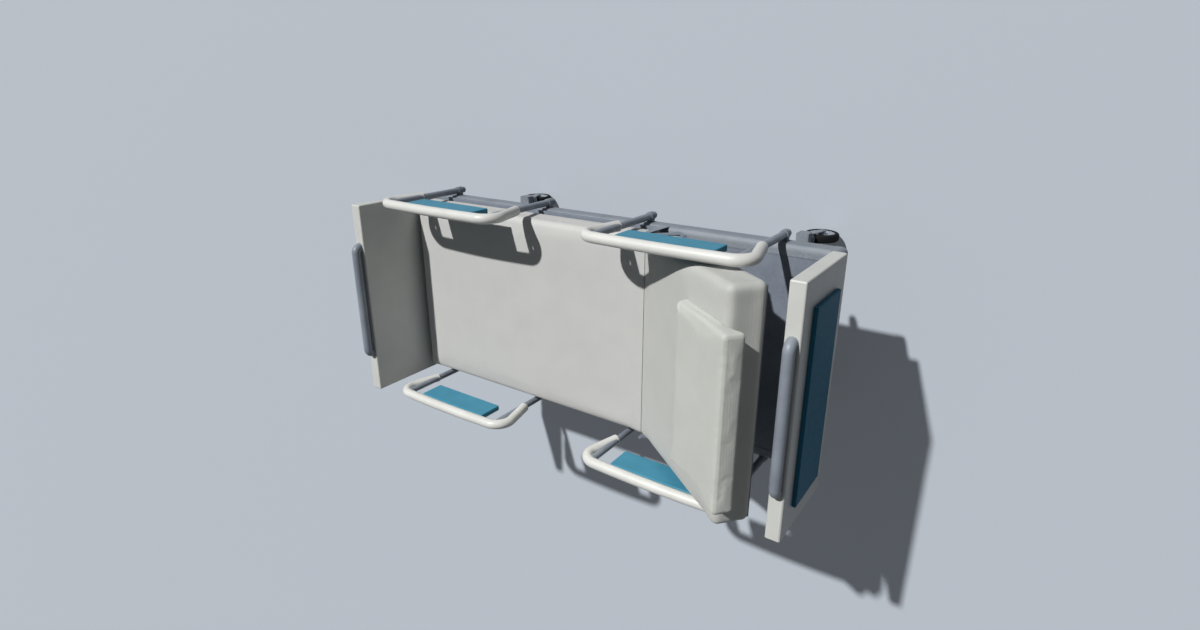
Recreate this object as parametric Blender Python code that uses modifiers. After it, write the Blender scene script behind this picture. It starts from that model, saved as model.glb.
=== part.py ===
"""Hospital bed on castors: a column-lift base, a deck frame with a raised back section,
lift-off end boards with push handles, and four side rails that drop through sleeves."""

import math

import bmesh
import bpy
from mathutils import Matrix, Vector

# Lengths are in metres and angles in degrees. X runs from foot to head, Z is up.
SEAT_GAP = 0.0003            # between faces that rest on each other
RUNNING_GAP = 0.0006         # between pieces that slide or turn on each other
LAP = 0.008                  # how far welded members run into each other
SIDES = 12                   # facets round pins, posts, tubes and bores
WHEEL_SIDES = 16

# End boards
LENGTH_OVER_BOARDS = 2.200
BOARD_THICK = 0.0575
BOARD_MARGIN = 0.0205        # board past the mattress, each side
BOARD_BOTTOM = 0.695
BOARD_HEIGHT = 0.427
BOARD_ROUND = 0.007
SPIGOT_RADIUS = 0.008
SPIGOT_LENGTH = 0.090
SPIGOT_SPREAD = 0.600
ACCENT_WIDTH = 0.750
ACCENT_HEIGHT = 0.245
ACCENT_THICK = 0.016
ACCENT_ABOVE_EDGE = 0.095    # from the board's low edge to the accent panel's
ACCENT_ROUND = 0.004
HANDLE_RADIUS = 0.0205
HANDLE_SPREAD = 0.550
HANDLE_RISE = 0.024          # centre of the bar above the board
HANDLE_BEND = 0.024
HANDLE_SINK = 0.020          # how deep its ends sit in the board

# Deck frame
FRAME_TOP = 0.645
FRAME_DEPTH = 0.070
FRAME_MARGIN = 0.008         # frame past the mattress, each side
SIDE_MEMBER_WIDTH = 0.045
SIDE_MEMBER_ROUND = 0.022
END_MEMBER_WIDTH = 0.045
END_MEMBER_INSET = 0.032     # its outer face behind the board's outer face
UPSTAND_PROUD = 0.004        # its upstand's inner face past the board's inner face
END_MEMBER_ROUND = 0.022
END_MEMBER_LIP = 0.001       # how far it wraps past the side members' faces
CROSS_MEMBER_DEPTH = 0.040
COLUMN_CROSS_WIDTH = 0.100
PLAIN_CROSS_WIDTH = 0.050
HEAD_CROSS_INSET = 0.103     # from the end member to the cross member's middle
FOOT_CROSS_INSET = 0.123
MIDDLE_CROSS_BACK = 0.230    # towards the foot from the bed's middle
DECK_THICK = 0.018
DECK_OVERHANG = 0.0042       # deck panels past the mattress, each side
DECK_SEAM = 0.004            # deck panels' ends short of the hinge line
TRAY_THICK = 0.003
TRAY_DROP = 0.002            # tray's top below the side members' top
TRAY_SLOT = (0.010, 0.170, 0.030)   # from the hinge line, to, and width
VENT_LENGTH = 0.150
VENT_WIDTH = 0.024
VENT_PITCH = (0.300, 0.250)

# Mattress and pillow
MATTRESS_WIDTH = 0.916
MATTRESS_THICK = 0.1314
MATTRESS_ROUND = 0.030
MATTRESS_END_GAP = 0.0065    # from the foot section to the footboard
SWING_GAP = 0.0009           # between the swinging back section and the headboard
BACK_RIM = 0.018             # mattress round the edge of the back section's panel
BACK_RIM_START = 0.075       # where the rim starts, from the hinge
PILLOW_WIDTH = 0.640
PILLOW_LENGTH = 0.350
PILLOW_OVERHANG = 0.089      # past the end of the back section
PILLOW_LOW_THICK = 0.082
PILLOW_HIGH_THICK = 0.046
PILLOW_DROOP = 0.036         # how far its overhang sinks below the mattress top
PILLOW_ROUND = 0.016

# Backrest hinge and drive
HINGE_X = 0.330
BACKREST_ANGLE = 37.0
BACKREST_MAX = 67.0
HINGE_PIN = 0.004
EAR_THICK = 0.003
EAR_ROUND = 0.009
EAR_FOOT = 0.044             # length of its foot along the side member
CHEEK_THICK = 0.0032
CHEEK_FOOT = (0.012, 0.052)
LEVER_REACH = 0.240          # hinge axis to drive pin
LEVER_THICK = 0.012
LEVER_END = 0.018
LEVER_ROOT = (0.035, 0.155)  # where it leaves the panel
DRIVE_Y = 0.150
DRIVE_PIN = 0.006
YOKE_PLATE = 0.006
YOKE_PLAY = 0.0015
YOKE_SLOT = (0.023, 0.054)
YOKE_WALL = 0.012
ROD_RADIUS = 0.010
ROD_INSERT = 0.180           # how far the rod reaches into its housing
HOUSING_RADIUS = 0.0235
HOUSING_LENGTH = 0.370
HOUSING_END = 0.100
GEARBOX_SIZE = (0.050, 0.112, 0.058)
MOTOR_RADIUS = 0.026
MOTOR_LENGTH = 0.150
MOTOR_OFFSET = 0.058
CONTROL_BOX_SIZE = (0.170, 0.190, 0.045)
CONTROL_BOX_OFFSET = 0.180   # to the right of the bed's middle

# Side rails
RAIL_STANDOFF = 0.023        # from the frame's side to the posts' axes
RAIL_INSET = {"foot": 0.4205, "head": 0.5105}   # from a board's inner face to the rail's middle
RAIL_TOP = 1.060
RAIL_ARCH = 0.012
LOOP_RADIUS = 0.021
LOOP_HALF_SPAN = 0.3595      # to the corner where a leg's line meets the top
LOOP_CORNER = 0.070
LOOP_FOOT = 0.833
LEG_OFFSET = 0.006           # a leg's low end outside its post's axis
POST_OFFSET = 0.2985
POST_RADIUS = 0.015
POST_FOOT = 0.555
POST_HEAD = 1.032
RAIL_PANEL_LENGTH = 0.414
RAIL_PANEL_LOW = 0.908
RAIL_PANEL_HIGH = 1.031
RAIL_PANEL_THICK = 0.026
RAIL_PANEL_ROUND = 0.005
HANGER_SPREAD = 0.240
HANGER_SIZE = (0.026, 0.012)
SLEEVE_RADIUS = 0.0190
SLEEVE_SPAN = (0.575, 0.606)
CATCH_RADIUS = 0.006
CATCH_INSET = 0.023          # from the frame's side to the catch pin's axis
CATCH_KNOB = 0.014
CATCH_DROP = 0.030           # knob's low end below the side member
CATCH_DEPTH = 0.026          # pin's reach into the side member

# Lift columns
COLUMN_X = 0.550
COLUMN_WIDTH = 0.150
COLUMN_WALL = 0.0065
COLUMN_ROUND = 0.008
COLUMN_HOLE_ROUND = 0.006
OUTER_SPAN = (0.130, 0.400)
MIDDLE_SPAN = (0.225, 0.495)
INNER_FOOT = 0.320
FLANGE_WIDTH = 0.200
FLANGE_THICK = 0.006
CAP_WIDTH = 0.160

# Base frame and castors
BASE_TOP = 0.240
BASE_TUBE = 0.050
BASE_ROUND = 0.010
BASE_SIDE_Y = 0.300
BASE_END_X = 0.785
BASE_END_WIDTH = 0.060
BASE_END_LENGTH = 0.840
COLUMN_BEAM = 0.040
CASTOR_Y = 0.380
CASTOR_TRAIL = 0.035
WHEEL_RADIUS = 0.075
TYRE_WIDTH = 0.036
TYRE_DEPTH = 0.019
TYRE_SHOULDER = 0.006
HUB_WIDTH = 0.030
HUB_BOSS = 0.016
AXLE_RADIUS = 0.006
AXLE_END = 0.003             # axle past the fork leg
FORK_LEG = 0.004
FORK_CLEAR = 0.0045          # fork leg to tyre
FORK_TIP = 0.015
CROWN_RADIUS = 0.032
CROWN_LOW = 0.160
STEM_RADIUS = 0.012
STEM_LENGTH = 0.040
PEDAL_BAR_REACH = 0.065      # past the middle of the base's end tube
PEDAL_BAR_Z = 0.206
PEDAL_BAR = 0.008
PEDAL_BAR_LENGTH = 0.660
PEDAL_Y = 0.290
PEDAL_SIZE = (0.100, 0.080, 0.010)
PEDAL_LUG_Y = 0.215
PEDAL_LUG_THICK = 0.010
PEDAL_LUG_END = 0.015

# Worked out from the sizes above
BOARD_MIDDLE_X = (LENGTH_OVER_BOARDS - BOARD_THICK) / 2
BOARD_INNER_X = LENGTH_OVER_BOARDS / 2 - BOARD_THICK
BOARD_TOP = BOARD_BOTTOM + BOARD_HEIGHT
RAIL_CENTRES = {"foot": RAIL_INSET["foot"] - BOARD_INNER_X, "head": BOARD_INNER_X - RAIL_INSET["head"]}
FRAME_LOW = FRAME_TOP - FRAME_DEPTH
FRAME_SIDE = MATTRESS_WIDTH / 2 + FRAME_MARGIN
BOARD_WIDTH = MATTRESS_WIDTH + 2 * BOARD_MARGIN
RAIL_Y = FRAME_SIDE + RAIL_STANDOFF
CATCH_Y = FRAME_SIDE - CATCH_INSET
FRAME_INNER_Y = FRAME_SIDE - SIDE_MEMBER_WIDTH
END_MEMBER_OUT = LENGTH_OVER_BOARDS / 2 - END_MEMBER_INSET
END_MEMBER_IN = END_MEMBER_OUT - END_MEMBER_WIDTH
HEAD_CROSS_X = END_MEMBER_IN - HEAD_CROSS_INSET
FOOT_CROSS_X = FOOT_CROSS_INSET - END_MEMBER_IN
MIDDLE_CROSS_X = -MIDDLE_CROSS_BACK
UPSTAND_IN = BOARD_INNER_X - UPSTAND_PROUD
SPIGOT_X = (UPSTAND_IN + END_MEMBER_OUT) / 2
DECK_LOW = FRAME_TOP + SEAT_GAP
DECK_HIGH = DECK_LOW + DECK_THICK
DECK_HALF = MATTRESS_WIDTH / 2 + DECK_OVERHANG
TRAY_TOP = FRAME_TOP - TRAY_DROP
CROSS_TOP = TRAY_TOP - TRAY_THICK - SEAT_GAP
CROSS_LOW = CROSS_TOP - CROSS_MEMBER_DEPTH
MATTRESS_LOW = DECK_HIGH + SEAT_GAP
MATTRESS_HIGH = MATTRESS_LOW + MATTRESS_THICK
HINGE = Vector((HINGE_X, 0.0, MATTRESS_HIGH))
PANEL_LOW = DECK_LOW - MATTRESS_HIGH         # heights in the back section's own frame
PANEL_HIGH = DECK_HIGH - MATTRESS_HIGH
CORNER_SWING = BOARD_INNER_X - SWING_GAP - HINGE_X - MATTRESS_ROUND
BACK_LENGTH = MATTRESS_ROUND + math.sqrt(CORNER_SWING ** 2 - (PANEL_LOW + MATTRESS_ROUND) ** 2)
PANEL_END = BACK_LENGTH - BACK_RIM
PANEL_HALF = MATTRESS_WIDTH / 2 - BACK_RIM
PILLOW_END = BACK_LENGTH + PILLOW_OVERHANG
PILLOW_START = PILLOW_END - PILLOW_LENGTH
LEVER_SWING = math.radians(BACKREST_MAX / 2)
LEVER_LEAD = math.radians(BACKREST_ANGLE) - LEVER_SWING
LEVER_TIP = (-LEVER_REACH * math.sin(LEVER_SWING), -LEVER_REACH * math.cos(LEVER_SWING))
DRIVE_X = HINGE_X + LEVER_REACH * math.sin(LEVER_LEAD)
DRIVE_Z = MATTRESS_HIGH - LEVER_REACH * (1 + math.cos(LEVER_SWING)) / 2
HOUSING_START = HOUSING_END - HOUSING_LENGTH
ROD_START = HOUSING_END - ROD_INSERT
BASE_LOW = BASE_TOP - BASE_TUBE
CASTOR_X = BASE_END_X + CASTOR_TRAIL
PEDAL_BAR_X = -BASE_END_X - PEDAL_BAR_REACH
HUB_RADIUS = WHEEL_RADIUS - TYRE_DEPTH
LEG_Y = TYRE_WIDTH / 2 + FORK_CLEAR

WHITE, BOARD, STEEL, DECK, TEAL, FABRIC, LINEN, RUBBER, HUB, DARK = (
    "powder_coat_white", "moulded_board_white", "powder_coat_grey", "deck_panel_grey", "moulded_teal",
    "mattress_cover", "pillow_case", "castor_tyre", "castor_hub", "moulded_dark_grey")
FINISHES = {                 # sRGB hex, roughness, metallic
    WHITE: ("CDCDC8", 0.45, 0.0),
    BOARD: ("CECFCB", 0.50, 0.0),
    STEEL: ("7D858F", 0.40, 0.6),
    DECK: ("7B8390", 0.55, 0.0),
    TEAL: ("2F87A6", 0.45, 0.0),
    FABRIC: ("C2C3BE", 0.85, 0.0),
    LINEN: ("C8CAC4", 0.90, 0.0),
    RUBBER: ("16181C", 0.75, 0.0),
    HUB: ("9AA2AB", 0.40, 0.3),
    DARK: ("2A2E33", 0.55, 0.0),
}


def linear(channel):
    """One sRGB channel, 0 to 1, as linear light."""
    return channel / 12.92 if channel <= 0.04045 else ((channel + 0.055) / 1.055) ** 2.4


def make_finish(name):
    """Principled material of one of the finishes."""
    colour, roughness, metallic = FINISHES[name]
    finish = bpy.data.materials.new(name)
    finish.use_nodes = True
    shader = finish.node_tree.nodes["Principled BSDF"]
    rgb = [linear(int(colour[i:i + 2], 16) / 255) for i in (0, 2, 4)]
    shader.inputs["Base Color"].default_value = (*rgb, 1.0)
    shader.inputs["Roughness"].default_value = roughness
    shader.inputs["Metallic"].default_value = metallic
    return finish


def start_scene():
    """Empties the file and makes the bed's collection and finishes."""
    for leftover in list(bpy.data.objects):
        bpy.data.objects.remove(leftover, do_unlink=True)
    bed = bpy.data.collections.new("hospital_bed")
    bpy.context.scene.collection.children.link(bed)
    return bed, {name: make_finish(name) for name in FINISHES}


BED, FINISH = start_scene()


def attach(child, parent):
    """Parents child and keeps it where its own location, in world axes, puts it."""
    if parent is not None:
        bpy.context.view_layer.update()
        child.parent = parent
        child.matrix_parent_inverse = parent.matrix_world.inverted()


def pivot(name, place, parent=None, turn=(0.0, 0.0, 0.0)):
    """Empty on a joint's axis that carries the pieces that move together."""
    empty = bpy.data.objects.new(name, None)
    empty.empty_display_size = 0.05
    empty.location = place
    empty.rotation_euler = turn
    BED.objects.link(empty)
    attach(empty, parent)
    return empty


def to_mesh(form, name="form"):
    """Mesh of a bmesh, which is freed."""
    mesh = bpy.data.meshes.new(name)
    bmesh.ops.recalc_face_normals(form, faces=form.faces)
    form.to_mesh(mesh)
    form.free()
    return mesh


def piece(name, form, finish, parent, own_frame=False):
    """Named object of a bmesh. With own_frame its mesh is in its parent's frame, or else in the world's."""
    mesh = to_mesh(form, name)
    mesh.materials.append(FINISH[finish])
    mesh.shade_smooth()
    mesh.set_sharp_from_angle(angle=math.radians(35))
    part = bpy.data.objects.new(name, mesh)
    BED.objects.link(part)
    if own_frame:
        part.parent = parent
    else:
        attach(part, parent)
    return part


def block(low, high, round_by=0.0, steps=2, choose=None):
    """Box between two corners. choose(edge middle, edge direction) says which edges are rounded."""
    form = bmesh.new()
    bmesh.ops.create_cube(form, size=1.0)
    bmesh.ops.scale(form, vec=[b - a for a, b in zip(low, high)], verts=form.verts)
    bmesh.ops.translate(form, vec=[(a + b) / 2 for a, b in zip(low, high)], verts=form.verts)
    if round_by:
        def wanted(edge):
            a, b = (v.co for v in edge.verts)
            return choose is None or choose((a + b) / 2, (b - a).normalized())
        edges = [edge for edge in form.edges if wanted(edge)]
        bmesh.ops.bevel(form, geom=edges, offset=round_by, segments=steps, profile=0.5, affect="EDGES")
    return form


def along(axis):
    """Chooses a block's edges that run along one axis."""
    return lambda middle, way: abs(way["XYZ".index(axis)]) > 0.9


def rod(start, end, radius, sides=SIDES):
    """Cylinder between two points."""
    start, end = Vector(start), Vector(end)
    form = bmesh.new()
    bmesh.ops.create_cone(form, cap_ends=True, segments=sides, radius1=radius, radius2=radius,
                          depth=(end - start).length)
    turn = (end - start).to_track_quat("Z", "Y").to_matrix().to_4x4()
    bmesh.ops.transform(form, matrix=Matrix.Translation((start + end) / 2) @ turn, verts=form.verts)
    return form


def bore_radius(radius, gap, sides=SIDES):
    """Corner radius of a faceted hole whose flats clear a round pin by the gap."""
    return (radius + gap) / math.cos(math.pi / sides)


def arc(centre, radius, start, end, steps):
    """Points of an arc, from one angle to another."""
    angles = [math.radians(start + (end - start) * i / steps) for i in range(steps + 1)]
    return [(centre[0] + radius * math.cos(a), centre[1] + radius * math.sin(a)) for a in angles]


def arm_outline(first, last, centre, radius, steps=4):
    """Outline of an arm from a straight root to a round end, anticlockwise from the root's first point."""
    def touch(point, side):
        gap = Vector(point) - Vector(centre)
        lean = math.acos(radius / gap.length)
        return math.degrees(math.atan2(gap.y, gap.x) + side * lean)
    start, end = touch(last, 1), touch(first, -1)
    while end < start:
        end += 360
    return [tuple(first), tuple(last)] + arc(centre, radius, start, end, steps)


def slot_outline(centre, length, width, steps=3):
    """Outline of a slot with round ends, its length along the first axis."""
    half = (length - width) / 2
    return (arc((centre[0] + half, centre[1]), width / 2, -90, 90, steps)
            + arc((centre[0] - half, centre[1]), width / 2, 90, 270, steps))


def curve_form(curve, place=None):
    """Welded bmesh of a curve, which is removed."""
    guide = bpy.data.objects.new("guide", curve)
    BED.objects.link(guide)
    bpy.context.view_layer.update()
    evaluated = guide.evaluated_get(bpy.context.evaluated_depsgraph_get())
    mesh = bpy.data.meshes.new_from_object(evaluated)
    form = bmesh.new()
    form.from_mesh(mesh)
    bmesh.ops.remove_doubles(form, verts=form.verts, dist=1e-6)
    if place is not None:
        bmesh.ops.transform(form, matrix=place, verts=form.verts)
    bpy.data.objects.remove(guide, do_unlink=True)
    bpy.data.meshes.remove(mesh)
    return form


def plate(outline, low, high, normal="Y"):
    """Flat outline made solid between two heights: along Y for an outline in XZ, along Z for one in XY."""
    curve = bpy.data.curves.new("outline", "CURVE")
    curve.dimensions = "2D"
    curve.fill_mode = "BOTH"
    curve.extrude = (high - low) / 2
    spline = curve.splines.new("POLY")
    spline.points.add(len(outline) - 1)
    for point, (across, up) in zip(spline.points, outline):
        point.co = (across, up, 0.0, 1.0)
    spline.use_cyclic_u = True
    middle = (high + low) / 2
    if normal == "Y":
        return curve_form(curve, Matrix.Translation((0, middle, 0)) @ Matrix.Rotation(math.pi / 2, 4, "X"))
    return curve_form(curve, Matrix.Translation((0, 0, middle)))


def bent(points, radius, steps):
    """Path through points with its corners turned to arcs."""
    points = [Vector(p) for p in points]
    path = [points[0]]
    for before, corner, after in zip(points, points[1:], points[2:]):
        back, ahead = (before - corner).normalized(), (after - corner).normalized()
        half = back.angle(ahead) / 2
        centre = corner + (back + ahead).normalized() * radius / math.sin(half)
        reach = radius / math.tan(half)
        first = (corner + back * reach - centre).normalized()
        last = (corner + ahead * reach - centre).normalized()
        path += [centre + first.slerp(last, i / steps) * radius for i in range(steps + 1)]
    return path + [points[-1]]


def tube(path, radius, ring_level=(SIDES - 4) // 2):
    """Round bar along a path with closed ends. Its ring has four sides and two more for each level."""
    curve = bpy.data.curves.new("path", "CURVE")
    curve.dimensions = "3D"
    curve.bevel_depth = radius
    curve.bevel_resolution = ring_level
    curve.use_fill_caps = True
    spline = curve.splines.new("POLY")
    spline.points.add(len(path) - 1)
    for point, place in zip(spline.points, path):
        point.co = (*place, 1.0)
    return curve_form(curve)


def turned(profile, steps, axis="Z", place=(0.0, 0.0, 0.0)):
    """Form turned from a closed profile of (radius, height) points."""
    form = bmesh.new()
    corners = [form.verts.new((radius, 0.0, height)) for radius, height in profile]
    for corner, after in zip(corners, corners[1:] + corners[:1]):
        form.edges.new((corner, after))
    mesh = bpy.data.meshes.new("profile")
    form.to_mesh(mesh)
    form.free()
    guide = bpy.data.objects.new("profile", mesh)
    BED.objects.link(guide)
    screw = guide.modifiers.new("turn", "SCREW")
    screw.steps = screw.render_steps = steps
    screw.use_merge_vertices = True
    screw.merge_threshold = 1e-5
    bpy.context.view_layer.update()
    evaluated = guide.evaluated_get(bpy.context.evaluated_depsgraph_get())
    result = bpy.data.meshes.new_from_object(evaluated)
    form = bmesh.new()
    form.from_mesh(result)
    bmesh.ops.remove_doubles(form, verts=form.verts, dist=1e-6)
    bpy.data.objects.remove(guide, do_unlink=True)
    bpy.data.meshes.remove(result)
    if axis == "Y":
        bmesh.ops.rotate(form, matrix=Matrix.Rotation(math.pi / 2, 3, "X"), verts=form.verts)
    bmesh.ops.translate(form, vec=place, verts=form.verts)
    return form


def together(*forms):
    """Forms that don't meet, as one."""
    whole = bmesh.new()
    for form in forms:
        mesh = to_mesh(form)
        whole.from_mesh(mesh)
        bpy.data.meshes.remove(mesh)
    return whole


def shaped(body, other, operation):
    """Result of one Boolean between two forms."""
    guides = []
    for name, form in (("body", body), ("other", other)):
        guide = bpy.data.objects.new(name, to_mesh(form))
        BED.objects.link(guide)
        guides.append(guide)
    step = guides[0].modifiers.new("step", "BOOLEAN")
    step.operation = operation
    step.solver = "EXACT"
    step.object = guides[1]
    bpy.context.view_layer.update()
    evaluated = guides[0].evaluated_get(bpy.context.evaluated_depsgraph_get())
    result = bpy.data.meshes.new_from_object(evaluated)
    form = bmesh.new()
    form.from_mesh(result)
    bmesh.ops.remove_doubles(form, verts=form.verts, dist=1e-6)
    bmesh.ops.dissolve_limit(form, angle_limit=math.radians(0.2), verts=form.verts, edges=form.edges)
    for guide in guides:
        bpy.data.objects.remove(guide, do_unlink=True)
    bpy.data.meshes.remove(result)
    return form


def joined(body, *others):
    """Union of forms, one after the other."""
    for other in others:
        body = shaped(body, other, "UNION")
    return body


def cut(body, *cutters):
    """Body with each cutter taken away."""
    for cutter in cutters:
        body = shaped(body, cutter, "DIFFERENCE")
    return body


def mirrored(form, axis):
    """Copy of a form across the middle plane that one axis is square to."""
    other = form.copy()
    scale = [1.0, 1.0, 1.0]
    scale["XYZ".index(axis)] = -1.0
    bmesh.ops.scale(other, vec=scale, verts=other.verts)
    return other


# Deck frame and deck

def post_places():
    """X of every rail post on one side."""
    return [centre + way * POST_OFFSET for centre in RAIL_CENTRES.values() for way in (-1, 1)]


def side_member():
    """Long member, rounded along its upper outer edge."""
    reach, middle_z = END_MEMBER_IN + LAP, (FRAME_LOW + FRAME_TOP) / 2
    return block((-reach, FRAME_INNER_Y, FRAME_LOW), (reach, FRAME_SIDE, FRAME_TOP), SIDE_MEMBER_ROUND, 3,
                 lambda middle, way: abs(way.x) > 0.9 and middle.y > CATCH_Y and middle.z > middle_z)


def end_member():
    """Head end member, with the upstand that the board stands on."""
    half, high = FRAME_SIDE + END_MEMBER_LIP, BOARD_BOTTOM - SEAT_GAP
    member = block((END_MEMBER_IN, -half, FRAME_LOW - END_MEMBER_LIP), (END_MEMBER_OUT, half, high),
                   END_MEMBER_ROUND, 3, lambda middle, way: abs(way.z) > 0.9 and middle.x > SPIGOT_X)
    step = block((END_MEMBER_IN - LAP, -half - LAP, FRAME_TOP - END_MEMBER_LIP),
                 (UPSTAND_IN, half + LAP, high + LAP))
    return cut(member, step)


def cross_member(x, width):
    """Member from side to side, its top under the head tray."""
    half = FRAME_INNER_Y + LAP
    return block((x - width / 2, -half, CROSS_LOW), (x + width / 2, half, CROSS_TOP))


def sleeve(x):
    """Sleeve for one rail post, with the web that holds it to the side member."""
    low, high = SLEEVE_SPAN
    ring = rod((x, RAIL_Y, low), (x, RAIL_Y, high), SLEEVE_RADIUS)
    web_half = SLEEVE_RADIUS * 0.8
    web = block((x - web_half, FRAME_SIDE - LAP, low + LAP / 2), (x + web_half, RAIL_Y, high - LAP / 2))
    return joined(ring, web)


def hinge_ear():
    """Thin ear that rises beside the mattress, with the backrest's hinge pin."""
    inner = DECK_HALF + RUNNING_GAP
    foot_z = FRAME_TOP - SIDE_MEMBER_ROUND - LAP
    outline = arm_outline((HINGE_X - EAR_FOOT / 2, foot_z), (HINGE_X + EAR_FOOT / 2, foot_z),
                          (HINGE.x, HINGE.z), EAR_ROUND)
    ear = plate(outline, inner, inner + EAR_THICK)
    pin = rod((HINGE.x, inner + EAR_THICK / 2, HINGE.z), (HINGE.x, MATTRESS_WIDTH / 2 + RUNNING_GAP, HINGE.z),
              HINGE_PIN)
    return joined(ear, pin)


def frame_holes():
    """Cutters for the post sleeves, the board sockets and the rail catches."""
    holes = []
    for side in (-1, 1):
        y = side * RAIL_Y
        for x in post_places():
            holes.append(rod((x, y, SLEEVE_SPAN[0] - LAP), (x, y, SLEEVE_SPAN[1] + LAP),
                             bore_radius(POST_RADIUS, SEAT_GAP)))
        for end in (-1, 1):
            x, y = end * SPIGOT_X, side * SPIGOT_SPREAD / 2
            holes.append(rod((x, y, BOARD_BOTTOM - SPIGOT_LENGTH - LAP), (x, y, BOARD_BOTTOM + LAP),
                             bore_radius(SPIGOT_RADIUS, SEAT_GAP)))
        y = side * CATCH_Y
        for x in RAIL_CENTRES.values():
            holes.append(rod((x, y, FRAME_LOW - LAP), (x, y, FRAME_LOW + CATCH_DEPTH + LAP),
                             bore_radius(CATCH_RADIUS, SEAT_GAP)))
    return together(*holes)


def deck_frame():
    """Welded frame: end, side and cross members, post sleeves and hinge ears."""
    end, side = end_member(), side_member()
    frame = joined(end, side, mirrored(side, "Y"), mirrored(end, "X"))
    for x, width in ((FOOT_CROSS_X, PLAIN_CROSS_WIDTH), (-COLUMN_X, COLUMN_CROSS_WIDTH),
                     (MIDDLE_CROSS_X, PLAIN_CROSS_WIDTH), (COLUMN_X, COLUMN_CROSS_WIDTH),
                     (HEAD_CROSS_X, PLAIN_CROSS_WIDTH)):
        frame = joined(frame, cross_member(x, width))
    brackets = together(hinge_ear(), *[sleeve(x) for x in post_places()])
    frame = joined(frame, brackets, mirrored(brackets, "Y"))
    return cut(frame, frame_holes())


def vents(start, end, low, high):
    """Cutters for the ventilation slots of a deck panel between two places along it."""
    pitch_x, pitch_y = VENT_PITCH
    count = max(1, int((end - start) / pitch_x))
    middle = (start + end) / 2
    slots = []
    for i in range(count):
        x = middle + (i - (count - 1) / 2) * pitch_x
        for row in (-1, 0, 1):
            slots.append(plate(slot_outline((x, row * pitch_y), VENT_LENGTH, VENT_WIDTH), low, high, "Z"))
    return together(*slots)


def seat_panel():
    """Fixed deck panel under the flat mattress section."""
    start, end = -UPSTAND_IN + SEAT_GAP, HINGE_X - DECK_SEAM
    panel = block((start, -DECK_HALF, DECK_LOW), (end, DECK_HALF, DECK_HIGH))
    return cut(panel, vents(start, end, DECK_LOW - LAP, DECK_HIGH + LAP))


def head_tray():
    """Thin sheet between the frame's members under the back section, slotted for the lift lever."""
    half = FRAME_INNER_Y - SEAT_GAP
    low = TRAY_TOP - TRAY_THICK
    tray = block((HINGE_X + TRAY_SLOT[0] / 2, -half, low), (END_MEMBER_IN - SEAT_GAP, half, TRAY_TOP))
    slot_start, slot_end, slot_width = TRAY_SLOT
    slot_middle = (HINGE_X + (slot_start + slot_end) / 2, DRIVE_Y)
    slot = plate(slot_outline(slot_middle, slot_end - slot_start + slot_width, slot_width),
                 low - LAP, TRAY_TOP + LAP, "Z")
    return cut(tray, slot)


def backrest_panel():
    """Back section's panel in its own frame, with hinge cheeks, lift lever and drive pin."""
    step = BACK_RIM_START - RUNNING_GAP
    panel = joined(block((DECK_SEAM, -DECK_HALF, PANEL_LOW), (step, DECK_HALF, PANEL_HIGH)),
                   block((step - LAP, -PANEL_HALF, PANEL_LOW), (PANEL_END, PANEL_HALF, PANEL_HIGH)))
    panel = cut(panel, vents(DECK_SEAM, PANEL_END, PANEL_LOW - LAP, PANEL_HIGH + LAP))
    middle = (PANEL_LOW + PANEL_HIGH) / 2
    cheek = plate(arm_outline((CHEEK_FOOT[0], middle), (CHEEK_FOOT[1], middle), (0.0, 0.0), EAR_ROUND),
                  DECK_HALF - CHEEK_THICK, DECK_HALF)
    lever = plate(arm_outline((LEVER_ROOT[1], middle), (LEVER_ROOT[0], middle), LEVER_TIP, LEVER_END),
                  DRIVE_Y - LEVER_THICK / 2, DRIVE_Y + LEVER_THICK / 2)
    pin_half = LEVER_THICK / 2 + YOKE_PLAY + YOKE_PLATE
    tip_x, tip_z = LEVER_TIP
    pin = rod((tip_x, DRIVE_Y - pin_half, tip_z), (tip_x, DRIVE_Y + pin_half, tip_z), DRIVE_PIN)
    panel = joined(panel, cheek, mirrored(cheek, "Y"), lever, pin)
    hinge_hole = rod((0, -DECK_HALF - LAP, 0), (0, DECK_HALF + LAP, 0), bore_radius(HINGE_PIN, SEAT_GAP))
    return cut(panel, hinge_hole)


# Backrest drive

def drive_housing():
    """Drive tube with its gearbox and motor, hung from the middle cross member by a saddle."""
    tube_form = rod((HOUSING_START, DRIVE_Y, DRIVE_Z), (HOUSING_END, DRIVE_Y, DRIVE_Z), HOUSING_RADIUS)
    saddle_half = PLAIN_CROSS_WIDTH / 2
    saddle = block((MIDDLE_CROSS_X - saddle_half, DRIVE_Y - HOUSING_RADIUS, DRIVE_Z),
                   (MIDDLE_CROSS_X + saddle_half, DRIVE_Y + HOUSING_RADIUS, CROSS_LOW - SEAT_GAP))
    box_start = MIDDLE_CROSS_X + saddle_half + RUNNING_GAP
    box_high = DRIVE_Y + HOUSING_RADIUS + LAP / 2
    length, width, height = GEARBOX_SIZE
    gearbox = block((box_start, box_high - width, DRIVE_Z - height / 2),
                    (box_start + length, box_high, DRIVE_Z + height / 2), LAP, 2)
    motor_y = DRIVE_Y - MOTOR_OFFSET
    motor = rod((box_start + length / 2, motor_y, DRIVE_Z),
                (box_start + length + MOTOR_LENGTH, motor_y, DRIVE_Z), MOTOR_RADIUS)
    bore = rod((HOUSING_START + LAP, DRIVE_Y, DRIVE_Z), (HOUSING_END + LAP, DRIVE_Y, DRIVE_Z),
               bore_radius(ROD_RADIUS, RUNNING_GAP))
    return cut(joined(tube_form, saddle, gearbox, motor), bore)


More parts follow.
